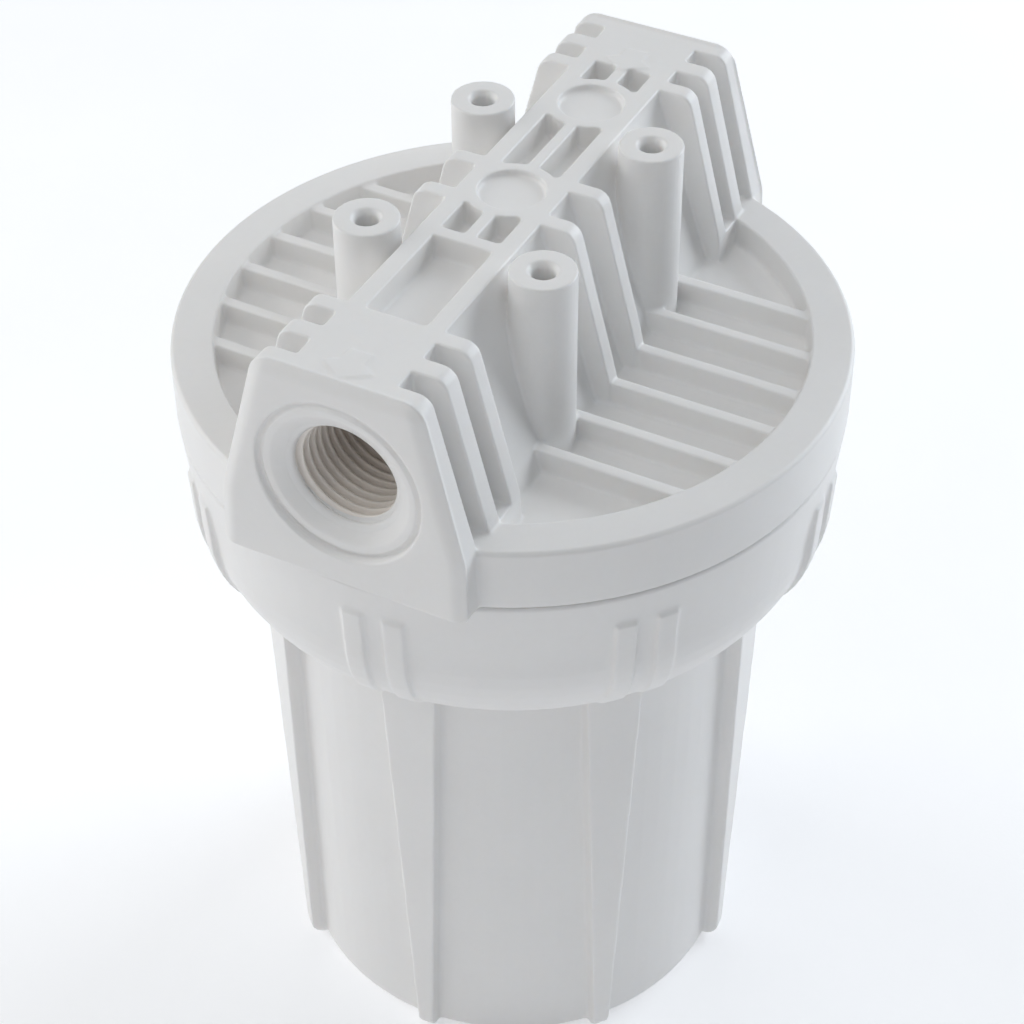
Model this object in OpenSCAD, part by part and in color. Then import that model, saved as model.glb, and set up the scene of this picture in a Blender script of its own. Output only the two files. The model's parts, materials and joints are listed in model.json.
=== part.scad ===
// Inline water filter housing for a 5 inch drop-in cartridge.
// Z = 0 is the underside of the sump. The two ports lie on the Y axis: the outlet
// faces -Y and the inlet faces +Y. All lengths are in millimetres.

/* [Cap] */
// Outside radius of the cap and of the top of the sump's collar
cap_r = 62.5; // [61.5:0.5:64]
// Height of the cap's rim above its joint line with the sump
rim_h = 12.6; // [11:0.2:14]
// Radial width of the raised rim round the deck
rim_w = 7.8; // [6:0.2:9]
// Depth of the ribbed deck below the rim
deck_drop = 5.2; // [4:0.2:6]
// Height of the bridge above the rim
bridge_h = 29.6; // [28:0.2:31]
// Half length of the bridge, from the middle to the foot of a port face
bridge_l = 63.3; // [62.9:0.1:63.5]
// Pitch of the stiffening ribs on the deck
deck_rib_pitch = 11.2; // [10.8:0.1:11.4]
// Thickness of the stiffening ribs on the deck
deck_rib_t = 2.4; // [1.6:0.2:3]

/* [Mounting bosses] */
// Distance between screw holes across the bridge
boss_dx = 34.0; // [33:0.2:35]
// Distance between screw holes along the bridge
boss_dy = 42.6; // [42:0.2:43]
// Radius of each boss
boss_r = 5.9; // [5:0.1:6.2]
// Height of the bosses above the top of the bridge
boss_proud = 1.9; // [1:0.1:3]
// Radius of the screw holes
screw_r = 2.1; // [1.6:0.1:2.4]
// Depth of the screw holes
screw_depth = 17; // [10:1:19]

/* [Ports] */
// Height of the port axis above the rim
port_z = 9.1; // [8.6:0.1:9.6]
// Radius of the threaded bore, taken at the pitch line of a 1/2 inch pipe thread
port_r = 9.9; // [9.6:0.1:10.2]
// Length of the threaded bore
port_len = 17; // [14:1:18]
// Radius of the water way behind the thread
way_r = 7.5; // [6:0.5:8]

/* [Sump] */
// Height from the underside of the sump to its joint line with the cap
sump_h = 139.9; // [139.4:0.1:140.4]
// Outside radius of the body just below the collar
body_r_top = 47.1; // [46.5:0.1:47.6]
// Outside radius of the body at the bottom
body_r_bottom = 45.4; // [45:0.1:46]
// Thickness of the body's wall and floor
wall = 4.2; // [4:0.1:4.6]
// Height of the collar
collar_h = 34; // [33.5:0.1:34.5]
// Number of fins down the body
fins = 8; // [4:1:8]
// How far the fins turn from the ports when the sump is screwed home, in degrees
fin_turn = 4.4; // [0:0.2:20]

/* [Screw joint] */
// Pitch of the thread between cap and sump
thread_pitch = 6; // [6:0.5:6.5]
// Radius of the cap's skirt, which is the root of its thread
skirt_r = 53.6; // [53:0.1:54]
// Radius of the sump's collar bore, which is the root of its thread
collar_bore_r = 56.2; // [56:0.1:56.6]
// Height of each thread
thread_depth = 1.9; // [1.6:0.1:2]

/* [Cartridge] */
// Outside radius of the cartridge's end caps
cart_r = 32; // [30:0.5:33]
// Length of the cartridge over its gaskets
cart_l = 124; // [123:0.5:124.5]
// Outside radius of the carbon block
block_r = 29; // [27:0.5:29]
// Radius of the hole through the carbon block
core_r = 15.5; // [15.2:0.1:16]

/* [Hidden] */
$fn = 96;
e = 0.01;

white = [0.90, 0.90, 0.89];

rim_z = sump_h + rim_h;               // top of the cap's rim
deck_z = rim_z - deck_drop;           // top of the deck between its ribs
deck_t = 4.5;                         // thickness of the deck
deck_under = deck_z - deck_t;         // roof of the chamber
rib_top = rim_z - 0.8;                // top of the stiffening ribs
bridge_z = rim_z + bridge_h;          // top of the bridge
boss_z = bridge_z + boss_proud;       // top of the mounting bosses
axis_z = rim_z + port_z;              // height of the port axis
rim_inner = cap_r - rim_w;

// half profile of the bridge, as [half width, height above the rim]
bridge_top_w = 16.1;                  // half width of the flat top over its corners
bridge_foot_w = 23.1;                 // half width at the rim
bridge_base_w = 23.6;                 // half width at the joint line
face_lean = 2;                        // how far the port faces lean back, in degrees
bridge_corner = 3;                    // radius of the top corners
core_top_w = 9.3;                     // half width of the narrow core's top
core_foot_w = 21;                     // half width of the core at the deck
pad_in = 9.4;                         // half width of the solid pad between the slots
slots = [[57.1, 52.8], [48.9, 44.7]]; // each slot's outer and inner distance from the middle
plate_last = 41.3;                    // inner face of the last end plate
plate_t = 3.4;                        // thickness of the two middle plates
rail_in = 5.7;                        // inner half width between the top rails
pocket_d = 4.7;                       // depth of the pockets in the top
well_r = 6.1;                         // radius of the two round recesses in the top
well_rim = 8.4;                       // outer radius of the rings round them
well_y = [0, 31.7];                   // where they are
mid_rib_t = 2.4;                      // thickness of the rib down the middle of the pockets
arrow_y = [-60, 44.1];                // where the tips of the two flow arrows are
mouth_d = 3.7;                        // depth of the dished mouth in front of each threaded bore
port_wall = 3.4;                      // thickness of the wall round each threaded bore
way_end = bridge_l - port_len;        // outer end of the water ways, inside the threaded bores
inlet_y = 28;                         // where the inlet turns down into the chamber

skirt_gap = 0.3;                      // gap between parts that turn on each other
ledge_z = 112.5;                      // ledge that the skirt comes down to
skirt_z = ledge_z + skirt_gap;
skirt_in = 48.4;                      // inside radius of the skirt
collar_z = sump_h - collar_h;         // underside of the collar
collar_r_low = 50.3;                  // radius of the collar's lower edge
collar_r_mid = 60.9;                  // radius of the collar where its shoulder starts
collar_shoulder = 19;                 // height of the collar's rounded shoulder
grip_proud = 1.1;                     // height of the grip ribs over the collar
grip_w = 3.9;                         // width of each grip rib and of the gap between the two
grip_top = sump_h - 6.6;              // upper end of the grip ribs
cavity_top_r = 43;                    // inside radius of the sump under the ledge
cavity_low_r = 41.2;                  // inside radius of the sump at its floor

fin_r_top = 49.9;                     // outer face of a fin at the top, from the axis
fin_r_low = 48.3;                     // and at the bottom
fin_w_top = 5.6;                      // half width of a fin under the collar
fin_w_low = 1.9;                      // and at the bottom
fin_corner = 4;                       // radius of its upper corners

ring_r = 49.5;                        // middle radius of the sump's O-ring
ring_cord = 2.2;                      // radius of its cord before it is squeezed
ring_h = 3.5;                         // height of the squeezed ring
ring_z = ledge_z - ring_h;            // underside of the squeezed ring
groove_w = 5.2;                       // width of its groove

knife_r = 17;                         // radius of the knife edges that bite on the gaskets
spigot_r = 12.6;                      // radius of the spigots that centre the cartridge
nipple_r = 9;                         // bore of the outlet nipple
gasket_t = 2.5;
cart_z = 10.3;                        // underside of the cartridge
cart_top = cart_z + cart_l;
end_disc = 3;                         // thickness of an end cap's disc
lip_h = 6;                            // height of an end cap's lip
lip_t = 0.8;
block_z = cart_z + gasket_t + end_disc;
block_top = cart_top - gasket_t - end_disc;
wrap_t = 0.5;                         // thickness of the inner wrap
felt_t = 1.5;                         // thickness of the prefilter wrap
net_t = 0.6;                          // thickness of the netting

turn_step = 7.5;                      // degrees between sections of a thread
thread_flank = 1.45;                  // half width of a thread at its root
thread_crest = 0.65;                  // half width of a thread at its crest

function arc(cx, cy, r, a0, a1, n) =
    [for (i = [0:n]) let(a = a0 + (a1 - a0) * i / n) [cx + r * cos(a), cy + r * sin(a)]];
function mirrored(pts) =
    concat(pts, [for (i = [len(pts) - 1:-1:0]) [-pts[i][0], pts[i][1]]]);

// a helical ridge of trapezoid section, root side at r0 and crest side at r1
module helix(r0, r1, z0, turns) {
    n = ceil(turns * 360 / turn_step);
    function taper(i) = min(1, i / 4, (n - i) / 4);
    function section(i) =
        let(a = i * turn_step, z = z0 + thread_pitch * a / 360, k = max(taper(i), 0.02))
        [for (p = [[r0, -thread_flank], [r0 + (r1 - r0) * k, -thread_crest],
                   [r0 + (r1 - r0) * k, thread_crest], [r0, thread_flank]])
            [p[0] * cos(a), p[0] * sin(a), z + p[1]]];
    points = [for (i = [0:n]) each section(i)];
    s = r1 > r0 ? 1 : -1;
    function quad(a, b, c, d) = s > 0 ? [[a, b, c], [a, c, d]] : [[c, b, a], [d, c, a]];
    sides = [for (i = [0:n - 1], k = [0:3])
        let(a = 4 * i + k, b = 4 * i + (k + 1) % 4) each quad(a, b, b + 4, a + 4)];
    ends = concat(quad(3, 2, 1, 0), quad(4 * n, 4 * n + 1, 4 * n + 2, 4 * n + 3));
    polyhedron(points, concat(sides, ends), convexity = 10);
}

// an upright prism along Y, from y0 to y1, of a half profile in X and Z
module along_y(y0, y1, half) {
    translate([0, y1, 0]) rotate([90, 0, 0]) linear_extrude(y1 - y0) polygon(mirrored(half));
}

module both_sides(at) {
    for (s = [-1, 1]) translate([0, s * at, 0]) children();
}

module bridge_block(y0, y1) {
    top = arc(bridge_top_w - bridge_corner, bridge_z - bridge_corner, bridge_corner, 76, 14, 4);
    along_y(y0, y1, concat([[bridge_base_w, sump_h], [bridge_foot_w, rim_z]],
        [for (i = [len(top) - 1:-1:0]) top[i]], [[bridge_top_w - bridge_corner, bridge_z]]));
}

module bridge_core() {
    along_y(-plate_last - 1, plate_last + 1,
        [[core_foot_w, deck_z - 1], [core_top_w, bridge_z - 1.2], [core_top_w, bridge_z]]);
}

// everything of the bridge that is solid before the pockets are cut
module bridge_solid() {
    for (s = [-1, 1]) {
        y = s * bridge_l;
        bridge_block(min(y, s * plate_last), max(y, s * plate_last));
    }
    intersection() {
        bridge_block(-plate_last, plate_last);
        union() {
            bridge_core();
            for (s = [-1, 1])
                translate([-bridge_base_w, s * deck_rib_pitch / 2 - plate_t / 2, deck_z - 1])
                    cube([2 * bridge_base_w, plate_t, bridge_h + deck_drop + 1]);
        }
    }
    for (x = [-1, 1], y = [-1, 1]) {
        translate([x * boss_dx / 2, y * boss_dy / 2, deck_z - 1])
            cylinder(r = boss_r, h = boss_z - deck_z + 1);
        // web from each boss to the core
        translate([x > 0 ? 0 : -boss_dx / 2, y * boss_dy / 2 - 2, deck_z - 1])
            cube([boss_dx / 2, 4, bridge_h - 3]);
    }
}

// trims both ends of the bridge so that the port faces lean back
module leaning_faces() {
    for (s = [0, 1]) mirror([0, s, 0])
        translate([0, -bridge_l, sump_h]) rotate([-face_lean, 0, 0])
            translate([-40, -20, -20]) cube([80, 20, 80]);
}

// slots cut from both flanks of the end blocks, down to the rim and to the wall round each port
module end_slots() {
    difference() {
        for (x = [-1, 1], y = [-1, 1], p = slots)
            translate([x > 0 ? pad_in : -pad_in - 20, min(y * p[0], y * p[1]), rim_z])
                cube([20, p[0] - p[1], bridge_h + 1]);
        translate([0, 0, axis_z]) rotate([90, 0, 0])
            cylinder(r = port_r + port_wall, h = 2 * bridge_l, center = true);
    }
}

// pockets in the top of the bridge, between the rails
module top_pockets() {
    z = bridge_z - pocket_d;
    pockets = [[-41.3, -18.2, 0], [-15.4, -7, 1], [7, 24.7, 1], [38.6, 45.4, 1]];
    for (p = pockets)
        difference() {
            translate([-rail_in, p[0], z]) cube([2 * rail_in, p[1] - p[0], pocket_d + 1]);
            if (p[2] == 1)
                translate([-mid_rib_t / 2, p[0] - 1, z - 1]) cube([mid_rib_t, p[1] - p[0] + 2, pocket_d + 3]);
            for (y = well_y) translate([0, y, z - 1]) cylinder(r = well_rim, h = pocket_d + 3);
        }
    for (y = well_y) translate([0, y, bridge_z - 1.2]) cylinder(r = well_r, h = 3);
}

// raised arrow that shows the way the water goes, with its tip at the origin and pointing to -Y
module flow_arrow() {
    translate([0, 0, -2]) linear_extrude(2.3)
        polygon([[0, 0], [4.6, 3], [2.2, 4.6], [2.2, 7.6], [-2.2, 7.6], [-2.2, 4.6], [-4.6, 3]]);
}

// stepped and dished mouth of a port, on the -Y side
module port_cut() {
    translate([0, -bridge_l, axis_z]) rotate([-90, 0, 0]) {
        rotate_extrude() polygon([
            [0, -1], [16.5, -1], [15.6, 1.2], [13.2, 1.4], [11, 2.9], [10.2, 3.3], [port_r, mouth_d],
            [0, mouth_d]]);
        translate([0, 0, mouth_d - 1]) cylinder(r = port_r, h = port_len + 1);
    }
}

module water_ways() {
    port_cut();
    mirror([0, 1, 0]) port_cut();
    // outlet: from the middle of the cap to the -Y port
    translate([0, 0, axis_z]) rotate([90, 0, 0]) cylinder(r = way_r, h = way_end);
    translate([0, 0, cart_top - 10]) cylinder(r = nipple_r - 1, h = axis_z - cart_top + 10);
    // inlet: from the +Y port down into the chamber outside the cartridge
    translate([0, inlet_y, axis_z]) rotate([-90, 0, 0]) cylinder(r = way_r, h = way_end - inlet_y);
    translate([0, inlet_y, deck_under - 1]) cylinder(r = way_r, h = axis_z - deck_under + 1);
}

module screw_holes() {
    for (x = [-1, 1], y = [-1, 1]) translate([x * boss_dx / 2, y * boss_dy / 2, 0]) {
        translate([0, 0, boss_z - screw_depth]) cylinder(r = screw_r, h = screw_depth + 1);
        translate([0, 0, boss_z - 1]) cylinder(r1 = screw_r, r2 = screw_r + 0.7, h = 1 + e);
    }
}

module cap_shell() {
    rotate_extrude($fn = 180) polygon([
        [0, deck_under], [skirt_in, deck_under], [skirt_in, skirt_z], [skirt_r - 0.8, skirt_z],
        [skirt_r, skirt_z + 0.8], [skirt_r, sump_h + skirt_gap], [cap_r, sump_h + skirt_gap],
        [cap_r, rim_z - 0.6], [cap_r - 0.6, rim_z], [rim_inner, rim_z], [rim_inner - 0.4, deck_z],
        [0, deck_z]]);
}

module deck_ribs() {
    intersection() {
        translate([0, 0, deck_z - 1]) cylinder(r = rim_inner + 1, h = 10, $fn = 180);
        for (i = [0:5])
            translate([-cap_r, (i - 2.5) * deck_rib_pitch - deck_rib_t / 2, deck_z - 1])
                cube([2 * cap_r, deck_rib_t, rib_top - deck_z + 1]);
    }
}

// nipple under the cap: a knife edge bites on the top gasket and a spigot centres the cartridge
module cap_nipple() {
    translate([0, 0, cart_top + skirt_gap + 1])
        cylinder(r = knife_r + 2, h = deck_under - cart_top - skirt_gap);
    translate([0, 0, cart_top + skirt_gap]) difference() {
        cylinder(r1 = knife_r, r2 = knife_r + 1, h = 2);
        translate([0, 0, -1]) cylinder(r = knife_r - 0.8, h = 2);
    }
    translate([0, 0, cart_top - 7]) cylinder(r = spigot_r, h = 12);
    translate([0, 0, cart_top - 9]) cylinder(r1 = spigot_r - 1.4, r2 = spigot_r, h = 2);
}

module cap() {
    color(white) for (y = arrow_y) translate([0, y, bridge_z]) flow_arrow();
    color(white) difference() {
        union() {
            cap_shell();
            deck_ribs();
            intersection() {
                bridge_solid();
                translate([0, 0, sump_h + skirt_gap]) cylinder(r = 80, h = 80);
            }
            cap_nipple();
            helix(skirt_r - 0.5, skirt_r + thread_depth, skirt_z + 4.2, 2.9);
        }
        leaning_faces();
        end_slots();
        top_pockets();
        water_ways();
        screw_holes();
    }
}

// outer profile of the collar, moved outwards by d
function collar_outline(d) = concat(
    [[cap_r - 0.5 + d, sump_h], [cap_r - 0.1 + d, sump_h - 0.6]],
    [for (a = [0:10:90]) [
        collar_r_low + d + (collar_r_mid - collar_r_low) * cos(a),
        collar_z + collar_shoulder * (1 - sin(a))]]);

module sump_outside() {
    rotate_extrude($fn = 180) polygon(concat([[0, sump_h]], collar_outline(0),
        [[body_r_top + 0.6, collar_z - 0.2], [body_r_top, collar_z - 1]],
        arc(body_r_bottom - 2.5, 2.5, 2.5, 0, -90, 6), [[0, 0]]));
}

module sump_inside() {
    rotate_extrude($fn = 180) polygon([
        [0, wall], [cavity_low_r - 3, wall], [cavity_low_r, wall + 3], [cavity_top_r, ledge_z + 1],
        [cavity_top_r, sump_h + 1], [0, sump_h + 1]]);
    translate([0, 0, ledge_z]) cylinder(r = collar_bore_r, h = collar_h, $fn = 180);
    translate([0, 0, ring_z - skirt_gap]) difference() {
        cylinder(r = ring_r + groove_w / 2, h = ring_h + 1, $fn = 180);
        translate([0, 0, -1]) cylinder(r = ring_r - groove_w / 2, h = ring_h + 3, $fn = 180);
    }
}

// one fin down the body: a flat face that narrows towards the bottom
module fin() {
    top = collar_z + 4;
    reach = 8;
    intersection() {
        rotate([90, 0, 0]) linear_extrude(2 * fin_w_top + 2, center = true) polygon(concat(
            [[fin_r_low - reach, 0.4]], arc(fin_r_low - 3.4, 3.8, 3.4, -90, 0, 6),
            [[fin_r_top, collar_z + 1], [fin_r_top + 0.3, top], [fin_r_top - reach, top]]));
        rotate([90, 0, 90]) linear_extrude(fin_r_top + 5) polygon(mirrored(concat(
            [[fin_w_low - 0.3, 0]],
            arc(fin_w_top - fin_corner, collar_z - fin_corner, fin_corner, -12, 90, 6),
            [[fin_w_top - fin_corner, top]])));
    }
}

// two raised grip ribs on the collar above a fin
module grip_ribs() {
    intersection() {
        rotate_extrude($fn = 180) polygon(concat([[45, grip_top]],
            [[cap_r - 0.8, grip_top], [cap_r - 0.1, grip_top - 0.7]],
            [for (a = [0:10:90]) [
                collar_r_low + grip_proud * cos(a) + (collar_r_mid - collar_r_low) * cos(a),
                collar_z + collar_shoulder * (1 - sin(a))]],
            [[45, collar_z]]));
        for (s = [-1, 1])
            translate([40, s * grip_w - grip_w / 2, collar_z - 1]) cube([30, grip_w, collar_h]);
    }
}

// seat on the sump's floor that centres and seals the foot of the cartridge
module seat() {
    translate([0, 0, wall - 1]) cylinder(r = knife_r + 2, h = cart_z - skirt_gap - wall);
    translate([0, 0, cart_z - skirt_gap - 2]) difference() {
        cylinder(r1 = knife_r + 1, r2 = knife_r, h = 2);
        translate([0, 0, 1]) cylinder(r = knife_r - 0.8, h = 2);
    }
    translate([0, 0, wall - 1]) cylinder(r = spigot_r, h = cart_z + 6 - wall);
    translate([0, 0, cart_z + 5]) cylinder(r1 = spigot_r, r2 = spigot_r - 1.4, h = 2);
}

module sump() {
    color(white) {
        difference() {
            union() {
                sump_outside();
                for (i = [0:fins - 1]) rotate([0, 0, -90 + fin_turn + i * 360 / fins]) {
                    fin();
                    grip_ribs();
                }
            }
            sump_inside();
        }
        seat();
        helix(collar_bore_r + 0.5, collar_bore_r - thread_depth, skirt_z + 4.2 + thread_pitch / 2, 2.9);
    }
}

module sump_o_ring() {
    color([0.07, 0.07, 0.07]) rotate_extrude($fn = 120) intersection() {
        translate([ring_r, ring_z + ring_h / 2]) circle(r = ring_cord, $fn = 32);
        translate([ring_r - 4, ring_z]) square([8, ring_h]);
    }
}

module gasket(z) {
    color([0.10, 0.10, 0.10]) translate([0, 0, z]) rotate_extrude()
        polygon([[14.3, 0], [23.6, 0], [24, 0.4], [24, gasket_t - 0.4], [23.6, gasket_t], [14.3, gasket_t]]);
}

// disc with an outer lip over the netting and an inner hub in the carbon block's hole
module end_cap() {
    difference() {
        union() {
            cylinder(r = cart_r, h = end_disc);
            difference() {
                cylinder(r = cart_r, h = end_disc + lip_h);
                translate([0, 0, end_disc]) cylinder(r = cart_r - lip_t, h = lip_h + 1);
            }
            cylinder(r = core_r - wrap_t - 0.05, h = end_disc + 8);
        }
        translate([0, 0, -1]) cylinder(r = core_r - wrap_t - 1.2, h = end_disc + 12);
    }
}

module tube(r_out, r_in, z0, z1) {
    translate([0, 0, z0]) difference() {
        cylinder(r = r_out, h = z1 - z0);
        translate([0, 0, -1]) cylinder(r = r_in, h = z1 - z0 + 2);
    }
}

module top_gasket() { gasket(cart_top - gasket_t); }

module bottom_gasket() { gasket(cart_z); }

module top_end_cap() {
    color([0.93, 0.93, 0.92]) translate([0, 0, block_top + end_disc]) mirror([0, 0, 1]) end_cap();
}

module bottom_end_cap() {
    color([0.93, 0.93, 0.92]) translate([0, 0, block_z - end_disc]) end_cap();
}

module inner_wrap() { color([0.95, 0.95, 0.93]) tube(core_r, core_r - wrap_t, block_z, block_top); }

module carbon_block() { color([0.12, 0.12, 0.13]) tube(block_r, core_r, block_z, block_top); }

module prefilter_wrap() {
    color([0.94, 0.94, 0.91]) tube(block_r + felt_t, block_r, block_z, block_top);
}

module outer_netting() {
    r = block_r + felt_t;
    color([0.85, 0.87, 0.88]) tube(r + net_t, r, block_z, block_top);
}

cap();
sump();
sump_o_ring();
top_gasket();
bottom_gasket();
top_end_cap();
bottom_end_cap();
inner_wrap();
carbon_block();
prefilter_wrap();
outer_netting();
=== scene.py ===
import json
import math

import bpy
import numpy as np
import openvdb as vdb
from mathutils import Matrix, Vector


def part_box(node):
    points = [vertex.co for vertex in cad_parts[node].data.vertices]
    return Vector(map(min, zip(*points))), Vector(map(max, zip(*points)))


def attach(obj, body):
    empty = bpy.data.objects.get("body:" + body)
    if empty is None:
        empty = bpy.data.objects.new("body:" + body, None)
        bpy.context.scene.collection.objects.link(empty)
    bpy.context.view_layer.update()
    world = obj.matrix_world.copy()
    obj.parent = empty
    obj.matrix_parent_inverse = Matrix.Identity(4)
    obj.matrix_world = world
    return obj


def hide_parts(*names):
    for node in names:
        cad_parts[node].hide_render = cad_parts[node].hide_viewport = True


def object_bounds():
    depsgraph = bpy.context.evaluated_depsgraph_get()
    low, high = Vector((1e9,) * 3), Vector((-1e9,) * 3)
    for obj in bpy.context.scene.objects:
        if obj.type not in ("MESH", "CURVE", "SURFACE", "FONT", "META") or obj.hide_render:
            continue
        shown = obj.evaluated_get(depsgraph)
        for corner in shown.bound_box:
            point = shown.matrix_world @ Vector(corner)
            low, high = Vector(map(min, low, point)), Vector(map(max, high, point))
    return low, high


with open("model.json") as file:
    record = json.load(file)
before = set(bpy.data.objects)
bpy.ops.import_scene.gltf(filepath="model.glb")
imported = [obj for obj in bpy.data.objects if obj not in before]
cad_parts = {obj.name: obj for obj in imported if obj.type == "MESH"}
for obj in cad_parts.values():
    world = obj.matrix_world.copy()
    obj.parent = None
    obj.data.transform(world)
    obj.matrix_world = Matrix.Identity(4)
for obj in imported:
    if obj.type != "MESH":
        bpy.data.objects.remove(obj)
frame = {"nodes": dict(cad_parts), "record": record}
cad_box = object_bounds()
scene = bpy.context.scene

MM = 0.001
MOUNTS = {m["name"]: m for m in frame["record"]["mounts"]}


def extent(node):
    """A node's outer radius, underside and top, in millimetres."""
    low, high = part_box(node)
    return high[0] / MM, low[2] / MM, high[2] / MM


# ---------------------------------------------------------------- meshes

def mesh_piece(name, points, quads, triangles=None, normals=None):
    """A smooth-shaded object from points in millimetres."""
    triangles = np.zeros((0, 3), int) if triangles is None else triangles
    corners = np.concatenate([np.ravel(quads), np.ravel(triangles)]).astype(np.int32)
    starts = np.concatenate([4 * np.arange(len(quads)),
                             4 * len(quads) + 3 * np.arange(len(triangles))]).astype(np.int32)
    mesh = bpy.data.meshes.new(name)
    mesh.vertices.add(len(points))
    mesh.vertices.foreach_set("co", (np.asarray(points) * MM).astype(np.float32).ravel())
    mesh.loops.add(len(corners))
    mesh.loops.foreach_set("vertex_index", corners)
    mesh.polygons.add(len(starts))
    mesh.polygons.foreach_set("loop_start", starts)
    mesh.update(calc_edges=True)
    mesh.validate()
    mesh.shade_smooth()
    if normals is not None and len(mesh.vertices) == len(normals):
        mesh.normals_split_custom_set_from_vertices(normals.tolist())
    piece = bpy.data.objects.new(name, mesh)
    scene.collection.objects.link(piece)
    return piece


def blurred(field, sigma):
    """The field after a Gaussian blur of that many voxels."""
    reach = math.ceil(2.5 * sigma)
    weights = np.exp(-0.5 * (np.arange(-reach, reach + 1) / sigma) ** 2)
    weights /= weights.sum()
    for axis in range(3):
        margin = [(reach, reach) if a == axis else (0, 0) for a in range(3)]
        padded = np.pad(field, margin, mode="edge")
        out = np.zeros_like(field)
        for k, weight in enumerate(weights):
            window = [slice(None)] * 3
            window[axis] = slice(k, k + field.shape[axis])
            out += np.float32(weight) * padded[tuple(window)]
        field = out
    return field


def sample(field, at):
    """The field's value at points given in voxels, interpolated."""
    at = np.clip(at, 0, np.array(field.shape) - 1.001)
    cell = np.floor(at).astype(int)
    part = at - cell
    value = np.zeros(len(at))
    for corner in range(8):
        step = np.array([corner & 1, corner >> 1 & 1, corner >> 2])
        share = np.prod(np.where(step, part, 1 - part), axis=1)
        value += share * field[tuple((cell + step).T)]
    return value


def thinned(points, quads, triangles, share):
    """The surface with that share of its faces, dropped where it is flattest."""
    dense = mesh_piece("dense", points, quads, triangles)
    modifier = dense.modifiers.new("thin", "DECIMATE")
    modifier.ratio = share
    thin = dense.evaluated_get(bpy.context.evaluated_depsgraph_get()).to_mesh()
    points = np.empty(3 * len(thin.vertices), np.float32)
    thin.vertices.foreach_get("co", points)
    thin.calc_loop_triangles()
    triangles = np.empty(3 * len(thin.loop_triangles), np.int32)
    thin.loop_triangles.foreach_get("vertices", triangles)
    mesh = dense.data
    bpy.data.objects.remove(dense)
    bpy.data.meshes.remove(mesh)
    return points.reshape(-1, 3) / MM, triangles.reshape(-1, 3)


def moulding(name, node, voxel, edge, fillet, faces, detail=None):
    """The node's shape as a moulding has it: outer edges rounded and inner corners filleted.

    voxel, edge and fillet are in millimetres. detail(field, x, y, z) may carve the distance
    field before the rounding."""
    source = frame["nodes"][node].data
    source.calc_loop_triangles()
    points = np.empty(3 * len(source.vertices), np.float32)
    source.vertices.foreach_get("co", points)
    points = points.reshape(-1, 3) / MM
    triangles = np.empty(3 * len(source.loop_triangles), np.int32)
    source.loop_triangles.foreach_get("vertices", triangles)
    half_band = math.ceil(2.5 * fillet / voxel)
    solid = vdb.FloatGrid.createLevelSetFromPolygons(
        np.ascontiguousarray(points, np.float32),
        triangles=triangles.reshape(-1, 3).astype(np.uint32),
        transform=vdb.createLinearTransform(voxelSize=voxel), halfWidth=half_band)
    low = np.floor(points.min(0) / voxel).astype(int) - half_band
    high = np.ceil(points.max(0) / voxel).astype(int) + half_band
    field = np.empty(high - low + 1, np.float32)
    solid.copyToArray(field, ijk=tuple(int(v) for v in low))
    if detail:
        x, y, z = (((low[a] + np.arange(field.shape[a])) * voxel).astype(np.float32)
                   for a in range(3))
        field = detail(field, x[:, None, None], y[None, :, None], z[None, None, :])
    field = blurred(field, edge / voxel)
    field = np.minimum(field, blurred(field, math.sqrt(fillet ** 2 - edge ** 2) / voxel))

    smooth = vdb.FloatGrid(float(half_band * voxel))
    smooth.transform = vdb.createLinearTransform(voxelSize=voxel)
    smooth.copyFromArray(field, ijk=tuple(int(v) for v in low), tolerance=1e-4)
    points, triangles, quads = smooth.convertToPolygons(isovalue=0.0)
    points, triangles = thinned(points, quads, triangles, faces / (2 * len(quads)))
    a, b, c = (points[triangles[:, k]] for k in range(3))
    outward = np.cross(b - a, c - a)
    at = points / voxel - low
    normals = np.stack([sample(field, at + step) - sample(field, at - step)
                        for step in 0.6 * np.eye(3)], axis=1)
    normals /= np.maximum(np.linalg.norm(normals, axis=1, keepdims=True), 1e-9)
    if np.sum(outward * normals[triangles[:, 0]]) < 0:
        triangles = triangles[:, ::-1]
    piece = mesh_piece(name, points, np.zeros((0, 4), int), triangles, normals)
    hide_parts(node)
    return piece


def rounded(outline, radius, steps=4):
    """A closed outline with its corners rounded, and a point close to each end of every curve."""
    out = []
    for i, corner in enumerate(outline):
        corner = np.array(corner, float)
        before = np.array(outline[i - 1], float) - corner
        after = np.array(outline[(i + 1) % len(outline)], float) - corner
        reach = min(radius, 0.45 * np.linalg.norm(before), 0.45 * np.linalg.norm(after))
        start = corner + before / np.linalg.norm(before) * reach
        end = corner + after / np.linalg.norm(after) * reach
        for t in np.linspace(0, 1, steps + 1):
            out.append((1 - t) ** 2 * start + 2 * t * (1 - t) * corner + t ** 2 * end)
    return np.array(out)


def refined(outline, longest):
    """A closed outline with no side longer than that."""
    out = []
    for a, b in zip(outline, np.roll(outline, -1, axis=0)):
        n = max(1, math.ceil(np.linalg.norm(b - a) / longest))
        out += [a + (b - a) * k / n for k in range(n)]
    return np.array(out)


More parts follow.
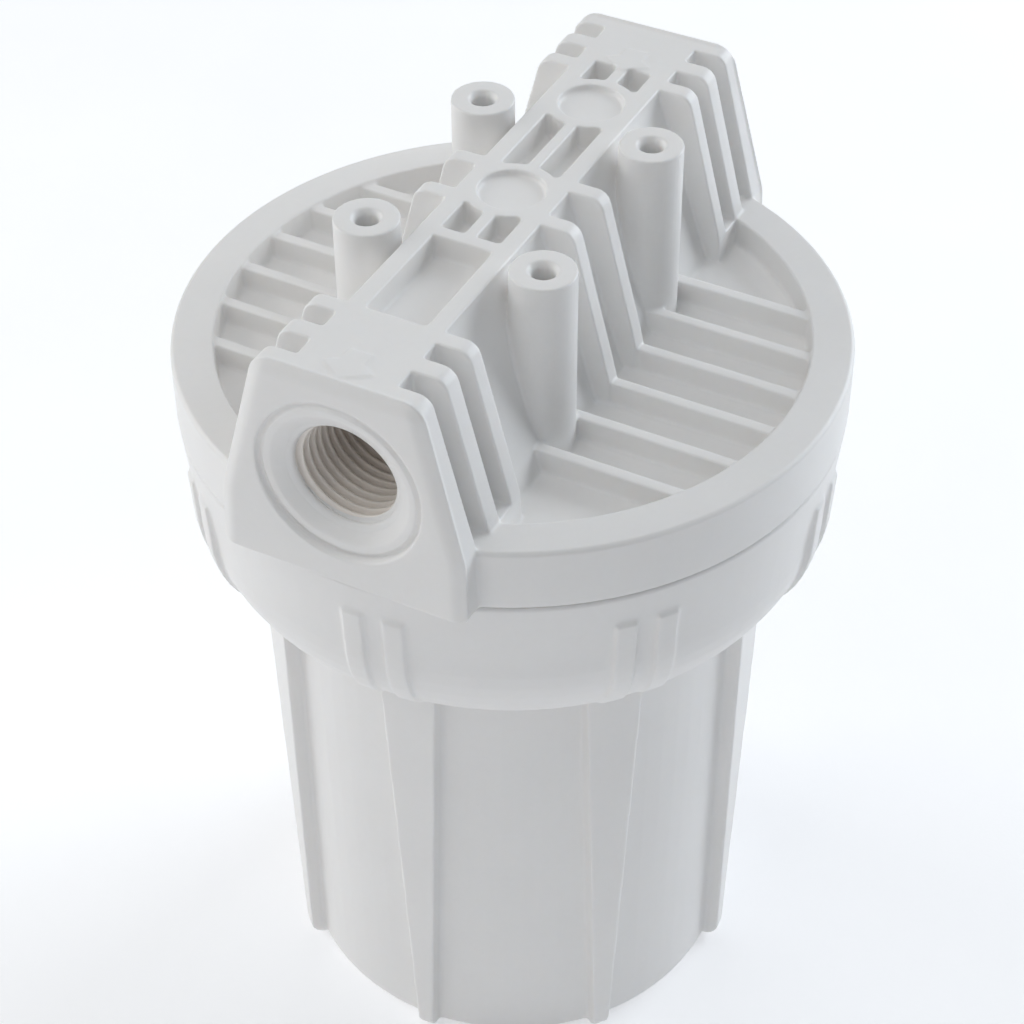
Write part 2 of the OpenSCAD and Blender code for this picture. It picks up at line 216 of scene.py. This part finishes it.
def turned(name, outline, segments=144, shift=None):
    """A ring turned about the Z axis from a closed outline of (radius, height).

    shift(angle, radius, height) returns how far each point moves outwards."""
    outline = np.asarray(outline, float)
    area = np.sum(outline[:, 0] * np.roll(outline[:, 1], -1)
                  - np.roll(outline[:, 0], -1) * outline[:, 1])
    if area < 0:
        outline = outline[::-1]
    angle = np.linspace(0, 2 * math.pi, segments, endpoint=False)[:, None]
    radius = np.broadcast_to(outline[:, 0], (segments, len(outline)))
    height = np.broadcast_to(outline[:, 1], radius.shape)
    if shift:
        radius = radius + shift(angle, radius, height)
    points = np.stack([radius * np.cos(angle), radius * np.sin(angle), height], axis=-1)
    return mesh_piece(name, points.reshape(-1, 3), lattice(*radius.shape))


def lattice(rows, columns, close_rows=True):
    """Quads of a grid of points that closes on itself along its columns, and along its rows."""
    i = np.arange(rows if close_rows else rows - 1)[:, None]
    k = np.arange(columns)[None, :]
    i2, k2 = (i + 1) % rows, (k + 1) % columns
    quads = np.stack([i * columns + k, i2 * columns + k, i2 * columns + k2, i * columns + k2],
                     axis=-1)
    return quads.reshape(-1, 4)


def ripple(angle, height, seed, waves, longest, radius):
    """Smooth unevenness between about -1 and 1 over a round wall, that closes on itself."""
    random = np.random.default_rng(seed)
    total = 0
    for _ in range(waves):
        turns = random.integers(1, max(2, int(2 * math.pi * radius / longest)))
        rise = random.uniform(-1, 1) * 2 * math.pi / longest
        total = total + np.cos(turns * angle + rise * height + random.uniform(0, 2 * math.pi))
    return total / math.sqrt(waves)


# ---------------------------------------------------------------- cap and sump

JOINT_Z = extent("sump")[2]             # where the cap meets the sump's collar
CAP_TOP = extent("cap")[2]
PORT_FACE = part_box("cap")[1][1] / MM    # distance of a port face's foot from the middle
BOSS_PROUD = 1.9                        # height of the bosses over the bridge
BRIDGE_TOP = CAP_TOP - BOSS_PROUD
RIM_Z = JOINT_Z + 12.6
FACE_LEAN = math.radians(2)             # the port faces lean back towards the top
# Half width of the bridge at its foot, at the rim, under its top's edge and at its top.
BRIDGE_HEIGHTS = [JOINT_Z, RIM_Z, BRIDGE_TOP - 2.3, BRIDGE_TOP]
BRIDGE_HALF_WIDTHS = [23.6, 23.1, 16.0, 15.4]
AXIS_Z = MOUNTS["outlet_port"]["pos_m"][2] / MM
BORE_R = MOUNTS["outlet_port"]["dims"]["r_mm"]
BORE_LENGTH = MOUNTS["outlet_port"]["dims"]["length_mm"]
BORE_OUTER = PORT_FACE - 3.7            # where the bore starts behind the dished mouth
BORE_INNER = BORE_OUTER - BORE_LENGTH
RING_GROOVE_R = 15.3                    # groove round the dished mouth of a port
RING_GROOVE_DEPTH = 1.4
RING_GROOVE_ROUND = 0.55                # radius of the groove's own section
SLEEVE_R = 11.3                         # outer radius of the threaded sleeve, inside the wall

BORDER = 2.8                            # width of the soft border round a port face
CORNER_R = 3.0                          # radius of the bridge's upper corners
BORDER_DEPTH = 1.0                      # how far the border falls back at the face's edge
SEAM_R = 0.36                           # radius of the fine parting line round a port face

THREAD_PITCH = 25.4 / 14                # 1/2 inch pipe thread
THREAD_DEPTH = 1.4
THREAD_TAPER = 1 / 32                   # loss of radius per length
THREAD_ROOT = 10.62                     # radius between the ridges at the mouth
LIP_R = 9.92                            # radius where the lip ends and the thread begins


def port_faces(field, x, y, z):
    """Carves the soft border of both port faces and opens the bores for the threaded sleeves."""
    half_width = np.interp(z, BRIDGE_HEIGHTS, BRIDGE_HALF_WIDTHS)
    from_side, from_top = half_width - np.abs(x), BRIDGE_TOP - z
    inside = CORNER_R - np.hypot(np.maximum(CORNER_R - from_side, 0),
                                 np.maximum(CORNER_R - from_top, 0))
    border = np.clip(1 - inside / BORDER, 0, 1.4) ** 2 * BORDER_DEPTH
    face = PORT_FACE - (z - JOINT_Z) * math.tan(FACE_LEAN) - border
    from_axis = np.hypot(x, z - AXIS_Z)
    middle, half = (BORE_OUTER + BORE_INNER) / 2, (BORE_OUTER - BORE_INNER) / 2 - 0.1
    seam_y = PORT_FACE - (z - JOINT_Z) * math.tan(FACE_LEAN) - BORDER_DEPTH
    for side in (-1, 1):
        field = np.maximum(field, side * y - face)
        seam = np.hypot(inside, side * y - seam_y + 0.25) - SEAM_R
        field = np.where(z > JOINT_Z + 1, np.minimum(field, seam), field)
        groove = np.hypot(from_axis - RING_GROOVE_R,
                          side * y - PORT_FACE + RING_GROOVE_DEPTH) - RING_GROOVE_ROUND
        field = np.maximum(field, -groove)
        bore = np.maximum(from_axis - (SLEEVE_R - 0.4), np.abs(side * y - middle) - half)
        field = np.maximum(field, -bore)
    return field.astype(np.float32)


def thread_sleeve(name, side):
    """The tapered pipe thread inside a port, with the rounded lip at its mouth."""
    segments, per_turn = 128, 14
    lip = [(SLEEVE_R, 0.86), (11.15, 0.9), (11.0, 0.85), (10.6, 0.64), (10.25, 0.44),
           (10.0, 0.16), (LIP_R, -0.1)]
    wall = np.arange(0.2, BORE_LENGTH - 0.3, THREAD_PITCH / per_turn)
    angle = np.linspace(0, 2 * math.pi, segments, endpoint=False)[:, None]
    phase = (wall[None, :] / THREAD_PITCH + angle / (2 * math.pi)) % 1
    ridge = np.clip((0.5 - np.abs(phase - 0.5)) * 3.2 - 0.25, 0, 1)
    start = np.clip((wall - 0.2) / (0.4 * THREAD_PITCH), 0, 1)
    radius = THREAD_ROOT - THREAD_TAPER * wall - THREAD_DEPTH * ridge
    radius = (1 - start) * LIP_R + start * radius
    rows = [np.broadcast_to(np.array([r, BORE_OUTER + d]), (segments, 2)) for r, d in lip]
    rows += [np.stack([radius[:, k], np.full(segments, BORE_OUTER - wall[k])], axis=1)
             for k in range(len(wall))]
    back = BORE_INNER - 0.2
    rows += [np.broadcast_to(np.array([r, back]), (segments, 2)) for r in (9.2, SLEEVE_R)]
    ring = np.stack(rows, axis=1)
    points = np.stack([ring[..., 0] * np.cos(angle), side * ring[..., 1],
                       AXIS_Z + ring[..., 0] * np.sin(angle)], axis=-1)
    quads = lattice(*ring.shape[:2])
    piece = mesh_piece(name, points.reshape(-1, 3), quads[:, ::-1] if side < 0 else quads)
    row = np.arange(len(quads)) % ring.shape[1]
    # Thread faces take a warmer, tan copy of the white plastic: painted warm shade of the deep bore
    in_thread = (row >= len(lip) + 6) & (row < ring.shape[1] - 2)
    piece.data.materials.append(white_plastic)
    piece.data.materials.append(thread_painted_shade_plastic)
    piece.data.polygons.foreach_set("material_index", in_thread.astype(np.int32))
    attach(piece, "head")
    return piece


cap = moulding("cap_moulding", "cap", voxel=0.3, edge=0.16, fillet=0.3, faces=195000,
               detail=port_faces)
sump = moulding("sump_moulding", "sump", voxel=0.4, edge=0.18, fillet=0.42, faces=190000)


# ---------------------------------------------------------------- seals and cartridge

SEAL_R = 2.15                           # radius of the O-ring's cord
SEAL_INSET = 2.2                        # from the O-ring's outer edge in to its cord's middle
GASKET_INNER = 14.3
GASKET_RIDGES = (17.0, 21.2)            # radii of the sealing ridges
RIDGE_HEIGHT = 0.28
RIDGE_WIDTH = 0.6
GASKET_EDGE = 0.7                       # height of the rounded edge over each face


def seal_ring():
    """The O-ring, squeezed flat between the faces of its gland."""
    outer, low, high = extent("sump_o_ring")
    half = (high - low) / 2
    middle = outer - SEAL_INSET
    turn = np.linspace(0, 2 * math.pi, 28, endpoint=False)
    outline = np.stack([middle + SEAL_R * np.cos(turn),
                        low + half + np.clip(SEAL_R * np.sin(turn), -half, half)], axis=1)
    return turned("sump_o_ring_seal", outline, segments=180)


def gasket_ring(node):
    """A flat gasket with two fine sealing ridges moulded on each face."""
    outer, low, high = extent(node)
    inner = GASKET_INNER
    across = np.linspace(inner + 0.5, outer - 0.5, 40)
    ridges = sum(RIDGE_HEIGHT * np.exp(-((across - r) / RIDGE_WIDTH) ** 2) for r in GASKET_RIDGES)
    dip = RIDGE_HEIGHT - ridges
    lower = [(r, low + d) for r, d in zip(across, dip)]
    upper = [(r, high - d) for r, d in zip(across, dip)][::-1]
    outline = [(inner, low + GASKET_EDGE)] + lower
    outline += [(outer, low + GASKET_EDGE), (outer, high - GASKET_EDGE)] + upper
    outline += [(inner, high - GASKET_EDGE)]
    return turned(node + "_moulding", outline, segments=128)


def end_cap_disc(node, upper):
    """A cartridge end cap: disc, outer lip, hub in the block's hole and fine concentric steps."""
    outer, low, high = extent(node)
    s, base = (-1, high) if upper else (1, low)
    hub_out, hub_in = 14.95, 13.85
    profile = [(hub_in, 0), (18, 0), (18.3, 0.3), (24.2, 0.3), (24.5, 0), (27, 0), (27.3, 0.35),
               (29.6, 0.35), (29.9, 0), (outer, 0), (outer, 9), (outer - 0.8, 9), (outer - 0.8, 3),
               (hub_out, 3), (hub_out, 11), (hub_in, 11)]
    outline = rounded([(r, base + s * d) for r, d in profile], 0.35, steps=3)

    def pull_tabs(angle, radius, height):
        depth = np.abs(height - base)
        on_lip = (radius > outer - 0.5) & (depth > 0.6) & (depth < 8.5)
        return np.where(on_lip, -0.14 * (np.cos(48 * angle) > 0.2), 0)

    return turned(node + "_moulding", refined(outline, 1.5), segments=384, shift=pull_tabs)


def wrapped_tube(name, node, inner, longest, depth, seed, strands=0):
    """A tube of felt or carbon with an uneven surface, dented where a net presses on it."""
    outer, low, high = extent(node)
    outline = refined(rounded([(inner, low), (outer, low), (outer, high), (inner, high)], 0.4), 1.1)
    middle = (outer + inner) / 2

    def uneven(angle, radius, height):
        rough = ripple(angle, height, seed, 24, longest, outer)
        shift = -depth * np.clip(0.5 + 0.5 * rough, 0, 1)
        if strands:
            shift = shift - 0.22 * net_press(angle, height - low, strands, outer)
        return np.where(radius > middle, shift, -shift)

    piece = turned(name, outline, segments=288, shift=uneven)
    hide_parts(node)
    return piece


def net_press(angle, height, strands, radius):
    """1 under a strand of the net and 0 in the middle of its openings."""
    gap = 2 * math.pi / strands
    press = 0
    for way in (-1, 1):
        offset = (angle - way * height / radius) / gap
        near = np.abs(offset - np.round(offset)) * gap * radius / math.sqrt(2)
        press = np.maximum(press, np.exp(-(near / 0.9) ** 2))
    return press


def netting(node, strands):
    """Extruded net: two sets of crossing strands that run round at 45 degrees."""
    outer, low, high = extent(node)
    thick = 0.3
    radius = outer - thick
    steps, sides = 56, 6
    height = np.linspace(low + 0.4, high - 0.4, steps)
    around = np.linspace(0, 2 * math.pi, sides, endpoint=False)
    points, quads = [], []
    for way in (-1, 1):
        for k in range(strands):
            angle = 2 * math.pi * k / strands + way * (height - low) / radius
            out = np.stack([np.cos(angle), np.sin(angle), 0 * angle], axis=1)
            along = np.stack([-np.sin(angle), np.cos(angle), 0 * angle], axis=1) * way
            across = np.cross(out, (along + [0, 0, 1]) / math.sqrt(2))
            centre = radius * out + [0, 0, 1] * height[:, None]
            rings = (centre[:, None] + thick * np.cos(around)[None, :, None] * out[:, None]
                     + 1.5 * thick * np.sin(around)[None, :, None] * across[:, None])
            base = len(points) * steps * sides
            strand = lattice(steps, sides, close_rows=False) + base
            quads.append(strand)
            ends = [np.arange(sides) + base, np.arange(sides)[::-1] + base + (steps - 1) * sides]
            quads += [np.array([[e[0], e[1], e[2], e[3]], [e[0], e[3], e[4], e[5]]]) for e in ends]
            points.append(rings.reshape(-1, 3))
    piece = mesh_piece(node + "_mesh", np.concatenate(points), np.concatenate(quads))
    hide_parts(node)
    return piece


NET_STRANDS = 26
CORE_R = 15.5
o_ring = seal_ring()
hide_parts("sump_o_ring")
gaskets = [gasket_ring("top_gasket"), gasket_ring("bottom_gasket")]
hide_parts("top_gasket")
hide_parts("bottom_gasket")
end_caps = [end_cap_disc("top_end_cap", True), end_cap_disc("bottom_end_cap", False)]
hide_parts("top_end_cap")
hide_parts("bottom_end_cap")
block_r = extent("carbon_block")[0]
inner_sleeve = wrapped_tube("inner_sleeve", "inner_wrap", CORE_R - 0.5, 6, 0.06, 3)
block = wrapped_tube("carbon_core", "carbon_block", CORE_R, 3, 0.12, 5)
felt = wrapped_tube("felt_wrap", "prefilter_wrap", block_r, 5, 0.1, 7, strands=NET_STRANDS)
net = netting("outer_netting", NET_STRANDS)


# ---------------------------------------------------------------- materials

def add(tree, kind, sockets=None, **settings):
    """A new node; each socket gets a value or a link."""
    item = tree.nodes.new(kind)
    for name, value in settings.items():
        setattr(item, name, value)
    for name, value in (sockets or {}).items():
        if isinstance(value, bpy.types.NodeSocket):
            tree.links.new(value, item.inputs[name])
        else:
            item.inputs[name].default_value = value
    return item


def noise(tree, coords, size, detail=2.0, roughness=0.5):
    """Noise whose features are about that many millimetres across."""
    item = add(tree, "ShaderNodeTexNoise",
               {"Vector": coords, "Scale": 1 / (size * MM), "Detail": detail,
                "Roughness": roughness})
    return item.outputs["Fac"]


def blend(tree, amount, a, b):
    item = add(tree, "ShaderNodeValToRGB", {"Fac": amount})
    ramp = item.color_ramp
    ramp.elements[0].position, ramp.elements[1].position = 0.3, 0.7
    ramp.elements[0].color, ramp.elements[1].color = (*a, 1), (*b, 1)
    return item.outputs["Color"]


def spread(tree, amount, low, high):
    item = add(tree, "ShaderNodeMapRange",
               {"Value": amount, "From Min": 0.3, "From Max": 0.7, "To Min": low, "To Max": high})
    return item.outputs["Result"]


def new_material(name):
    material = bpy.data.materials.new(name)
    material.use_nodes = True
    tree = material.node_tree
    shader = tree.nodes["Principled BSDF"]
    coords = add(tree, "ShaderNodeTexCoord").outputs["Object"]
    return material, tree, shader, coords


def finish_surface(tree, shader, color, roughness, height, bump):
    tree.links.new(color, shader.inputs["Base Color"])
    tree.links.new(roughness, shader.inputs["Roughness"])
    relief = add(tree, "ShaderNodeBump", {"Height": height, "Strength": 1.0, "Distance": bump * MM})
    tree.links.new(relief.outputs["Normal"], shader.inputs["Normal"])


def moulded_plastic(name, light, dark, gloss, grain):
    """Satin moulded polypropylene: faint clouding, a fine spark-eroded grain, uneven gloss."""
    material, tree, shader, coords = new_material(name)
    cloud = noise(tree, coords, 22, detail=3)
    speck = noise(tree, coords, 1.4, detail=4, roughness=0.6)
    fine = noise(tree, coords, 0.35, detail=3, roughness=0.65)
    mixed = add(tree, "ShaderNodeMix", {"Factor": 0.35, "A": cloud, "B": speck}, data_type="FLOAT")
    height = add(tree, "ShaderNodeMix", {"Factor": 0.45, "A": fine, "B": speck}, data_type="FLOAT")
    finish_surface(tree, shader, blend(tree, mixed.outputs["Result"], dark, light),
                   spread(tree, speck, gloss - 0.06, gloss + 0.08),
                   height.outputs["Result"], grain)
    shader.inputs["IOR"].default_value = 1.49
    shader.inputs["Subsurface Weight"].default_value = 0.15
    shader.inputs["Subsurface Radius"].default_value = (1.0, 0.85, 0.7)
    shader.inputs["Subsurface Scale"].default_value = 0.002
    return material


def black_rubber(name, gloss):
    material, tree, shader, coords = new_material(name)
    bloom = noise(tree, coords, 9, detail=4, roughness=0.6)
    fine = noise(tree, coords, 0.25, detail=3)
    finish_surface(tree, shader, blend(tree, bloom, (0.018, 0.018, 0.019), (0.045, 0.044, 0.043)),
                   spread(tree, bloom, gloss - 0.1, gloss + 0.1), fine, 0.05)
    return material


def felt_material(name):
    """Nonwoven felt: short fibres in all directions."""
    material, tree, shader, coords = new_material(name)
    strands = []
    for k, turn in enumerate((0.4, 1.5, 2.6)):
        lay = add(tree, "ShaderNodeMapping",
                  {"Vector": coords, "Rotation": (turn, 0.7 * turn, 0.3 + turn),
                   "Scale": (1, 0.12, 1)})
        strands.append(noise(tree, lay.outputs["Vector"], 0.3, detail=3, roughness=0.6))
    first = add(tree, "ShaderNodeMath", {0: strands[0], 1: strands[1]}, operation="MAXIMUM")
    fibre = add(tree, "ShaderNodeMath", {0: first.outputs[0], 1: strands[2]}, operation="MAXIMUM")
    tufts = noise(tree, coords, 4, detail=3)
    color = blend(tree, add(tree, "ShaderNodeMix", {"Factor": 0.5, "A": tufts, "B": fibre.outputs[0]},
                            data_type="FLOAT").outputs["Result"],
                  (0.66, 0.66, 0.62), (0.86, 0.86, 0.82))
    finish_surface(tree, shader, color, spread(tree, tufts, 0.85, 0.98), fibre.outputs[0], 0.35)
    shader.inputs["Sheen Weight"].default_value = 0.4
    return material


def carbon_material(name):
    """Pressed activated carbon: dark grains with a few that glint."""
    material, tree, shader, coords = new_material(name)
    grains = add(tree, "ShaderNodeTexVoronoi", {"Vector": coords, "Scale": 1 / (0.5 * MM)})
    lumps = noise(tree, coords, 2.5, detail=5, roughness=0.65)
    height = add(tree, "ShaderNodeMath", {0: grains.outputs["Distance"], 1: lumps},
                 operation="ADD")
    finish_surface(tree, shader, blend(tree, lumps, (0.008, 0.008, 0.009), (0.03, 0.03, 0.032)),
                   spread(tree, grains.outputs["Distance"], 0.55, 0.95), height.outputs[0], 0.3)
    return material


def paint(material, slot, body, *pieces):
    for piece in pieces:
        piece.data.materials.clear()
        piece.data.materials.append(material)
        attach(piece, body)


white_plastic = moulded_plastic("white_plastic", (0.88, 0.868, 0.855), (0.85, 0.838, 0.825),
                                0.42, 0.02)
# A tan copy of the white plastic for the threads: painted warm shade, the tint the bore takes in
# shadow
thread_painted_shade_plastic = moulded_plastic("thread_painted_shade_plastic", (0.95, 0.89, 0.83), (0.91, 0.85, 0.79),
                                   0.36, 0.015)
paint(white_plastic, "cap_plastic", "head", cap)
thread_sleeve("outlet_thread", -1)
thread_sleeve("inlet_thread", 1)
paint(white_plastic, "sump_plastic", "sump", sump)
paint(black_rubber("seal_rubber", 0.4), "seal_rubber", "carriage", o_ring)
paint(black_rubber("gasket_rubber", 0.6), "gasket_rubber", "carriage", *gaskets)
paint(moulded_plastic("end_cap_plastic", (0.84, 0.83, 0.80), (0.78, 0.77, 0.74), 0.38, 0.03),
      "end_cap_plastic", "carriage", *end_caps)
paint(felt_material("wrap_felt"), "wrap_felt", "carriage", inner_sleeve, felt)
paint(carbon_material("carbon"), "carbon", "carriage", block)
paint(moulded_plastic("netting_plastic", (0.80, 0.82, 0.82), (0.72, 0.74, 0.75), 0.3, 0.01),
      "netting_plastic", "carriage", net)


# ---------------------------------------------------------------- floor, light and camera

FLOOR_HALF = 30.0
floor_mesh = bpy.data.meshes.new("floor")
floor_mesh.from_pydata([(x * FLOOR_HALF, y * FLOOR_HALF, cad_box[0][2])
                        for x, y in ((-1, -1), (1, -1), (1, 1), (-1, 1))], [], [(0, 1, 2, 3)])
floor = bpy.data.objects.new("floor", floor_mesh)
scene.collection.objects.link(floor)
floor_material, tree, shader, coords = new_material("pale_floor")
paper = noise(tree, coords, 60, detail=4)
finish_surface(tree, shader, blend(tree, paper, (0.86, 0.86, 0.87), (0.88, 0.88, 0.89)),
               spread(tree, paper, 0.75, 0.85), noise(tree, coords, 0.6, detail=3), 0.02)
shader.inputs["Emission Color"].default_value = (0.965, 0.975, 1.0, 1)
shader.inputs["Emission Strength"].default_value = 0.28
floor_mesh.materials.append(floor_material)


def area_light(name, azimuth, elevation, distance, size, power, color):
    """A soft round light that looks at the middle of the object."""
    middle = Vector((0, 0, 0.11))
    a, e = math.radians(azimuth), math.radians(elevation)
    place = middle + distance * Vector((math.sin(a) * math.cos(e), -math.cos(a) * math.cos(e),
                                        math.sin(e)))
    lamp = bpy.data.lights.new(name, "AREA")
    lamp.shape = "DISK"
    lamp.size = size
    lamp.energy = power
    lamp.color = color
    item = bpy.data.objects.new(name, lamp)
    item.location = place
    item.rotation_euler = (middle - place).to_track_quat("-Z", "Y").to_euler()
    scene.collection.objects.link(item)


area_light("left", -82, 22, 1.4, 1.0, 8.2, (0.97, 0.99, 1.0))
area_light("right", 148, 22, 1.4, 1.0, 13.0, (0.88, 0.94, 1.0))
area_light("high_left", -32, 48, 1.4, 1.0, 2.4, (0.96, 1.0, 1.0))
area_light("front_warm", 8, 50, 1.4, 1.0, 1.0, (1.0, 0.88, 0.82))
area_light("front_cool", 48, 50, 1.4, 1.0, 1.5, (0.66, 0.84, 1.0))
area_light("low_front", -12, 18, 1.4, 0.8, 1.0, (1.0, 0.98, 0.95))
area_light("top", 0, 88, 1.4, 1.0, 2.8, (1.0, 0.99, 0.97))
area_light("back", -152, 55, 1.4, 1.0, 1.8, (0.94, 0.96, 1.0))
world = bpy.data.worlds.new("studio")
world.use_nodes = True
background = world.node_tree.nodes["Background"]
background.inputs["Color"].default_value = (0.97, 0.98, 1.0, 1)
background.inputs["Strength"].default_value = 0.08
scene.world = world
scene.view_settings.view_transform = "Standard"

CAMERA_AZIMUTH, CAMERA_ELEVATION, CAMERA_ROLL = 27.66, 41.58, -0.336
CAMERA_PLACE = (0.16591, -0.31719, 0.42401)
a, e, r = (math.radians(v) for v in (CAMERA_AZIMUTH, CAMERA_ELEVATION, CAMERA_ROLL))
back = Vector((math.sin(a) * math.cos(e), -math.cos(a) * math.cos(e), math.sin(e)))
right = Vector((math.cos(a), math.sin(a), 0))
up = back.cross(right)
right, up = math.cos(r) * right + math.sin(r) * up, math.cos(r) * up - math.sin(r) * right
camera_data = bpy.data.cameras.new("camera")
camera_data.lens = 85.94
camera_data.sensor_width = 36
camera_data.clip_start = 0.01
camera = bpy.data.objects.new("camera", camera_data)
facing = Matrix((right, up, back)).transposed().to_4x4()
camera.matrix_world = Matrix.Translation(CAMERA_PLACE) @ facing
scene.collection.objects.link(camera)
scene.camera = camera
